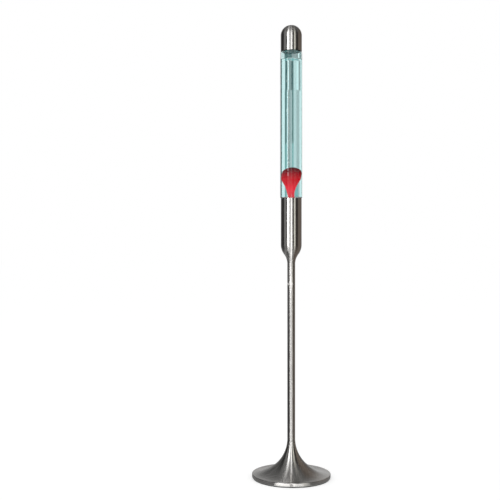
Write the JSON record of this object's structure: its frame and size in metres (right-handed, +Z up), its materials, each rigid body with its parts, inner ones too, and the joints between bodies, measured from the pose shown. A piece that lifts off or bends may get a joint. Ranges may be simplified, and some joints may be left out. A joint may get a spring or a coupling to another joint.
{
  "type": "floor lava lamp",
  "caption": "Floor lamp with a tall liquid-filled glass bottle of rising wax, in a brushed steel cup on a slim stem and trumpet foot, under a domed metal cap.",
  "frame": {"origin": "on the floor, at the middle of the foot's underside, under the stem", "axes": "+Z up along the stem, +Y towards the back, where the cord inlet is"},
  "size_m": [0.227, 0.227, 1.309],
  "materials": {
    "brushed_steel": "satin",
    "zinc_steel": "satin",
    "cast_iron": "matte",
    "foam_rubber": "matte",
    "black_rubber": "satin",
    "silicone": "satin",
    "white_nylon": "satin",
    "black_nylon": "matte",
    "brass": "satin",
    "nickel_brass": "gloss",
    "black_phenolic": "gloss",
    "lead_sheath": "satin",
    "black_glass": "gloss",
    "bulb_glass": "satin",
    "clear_glass": "gloss",
    "spring_wire": "gloss",
    "red_wax": "satin",
    "teal_liquid": "gloss",
    "tinplate": "gloss"
  },
  "bodies": {
    "stand": {"foot_pad": "foam_rubber", "base_plate": "zinc_steel", "base_plate_screws": "zinc_steel", "foot_weight": "cast_iron", "foot_shell": "brushed_steel", "cord_inlet": "black_rubber", "throat_bush": "zinc_steel", "clamp_rod": "zinc_steel", "clamp_washer": "zinc_steel", "clamp_nut": "zinc_steel", "terminal_block": "white_nylon", "stem_tube": "brushed_steel", "stem_insert_lower": "brass", "stem_insert_upper": "brass", "cup_shell": "brushed_steel", "cup_clamp_cone": "zinc_steel", "cup_clamp_nut": "zinc_steel", "holder_nipple": "zinc_steel", "lampholder_cap": "black_phenolic", "lampholder_body": "black_phenolic", "socket_sleeve": "brass", "centre_contact": "brass", "internal_lead": "lead_sheath", "cup_seat_ring": "silicone"},
    "bulb": {"bulb_shell": "nickel_brass", "bulb_contact": "black_glass", "bulb_envelope": "bulb_glass"},
    "bottle": {"bottle_glass": "clear_glass", "base_coil": "spring_wire", "wax_body": "red_wax", "lamp_liquid": "teal_liquid", "closure_seal": "silicone", "bottle_closure": "tinplate"},
    "dome": {"cap_liner": "black_nylon", "dome_cap": "brushed_steel"}
  },
  "joints": [
    {"name": "bottle_lift", "type": "slide", "parent": "stand", "child": "bottle", "axis": [0, 0, 1], "range_m": [0, 0.12]},
    {"name": "cap_lift", "type": "slide", "parent": "bottle", "child": "dome", "axis": [0, 0, 1], "range_m": [0, 0.06]},
    {"name": "bulb_draw", "type": "slide", "parent": "stand", "child": "bulb", "axis": [0, 0, 1], "range_m": [0, 0.024]}
  ]
}
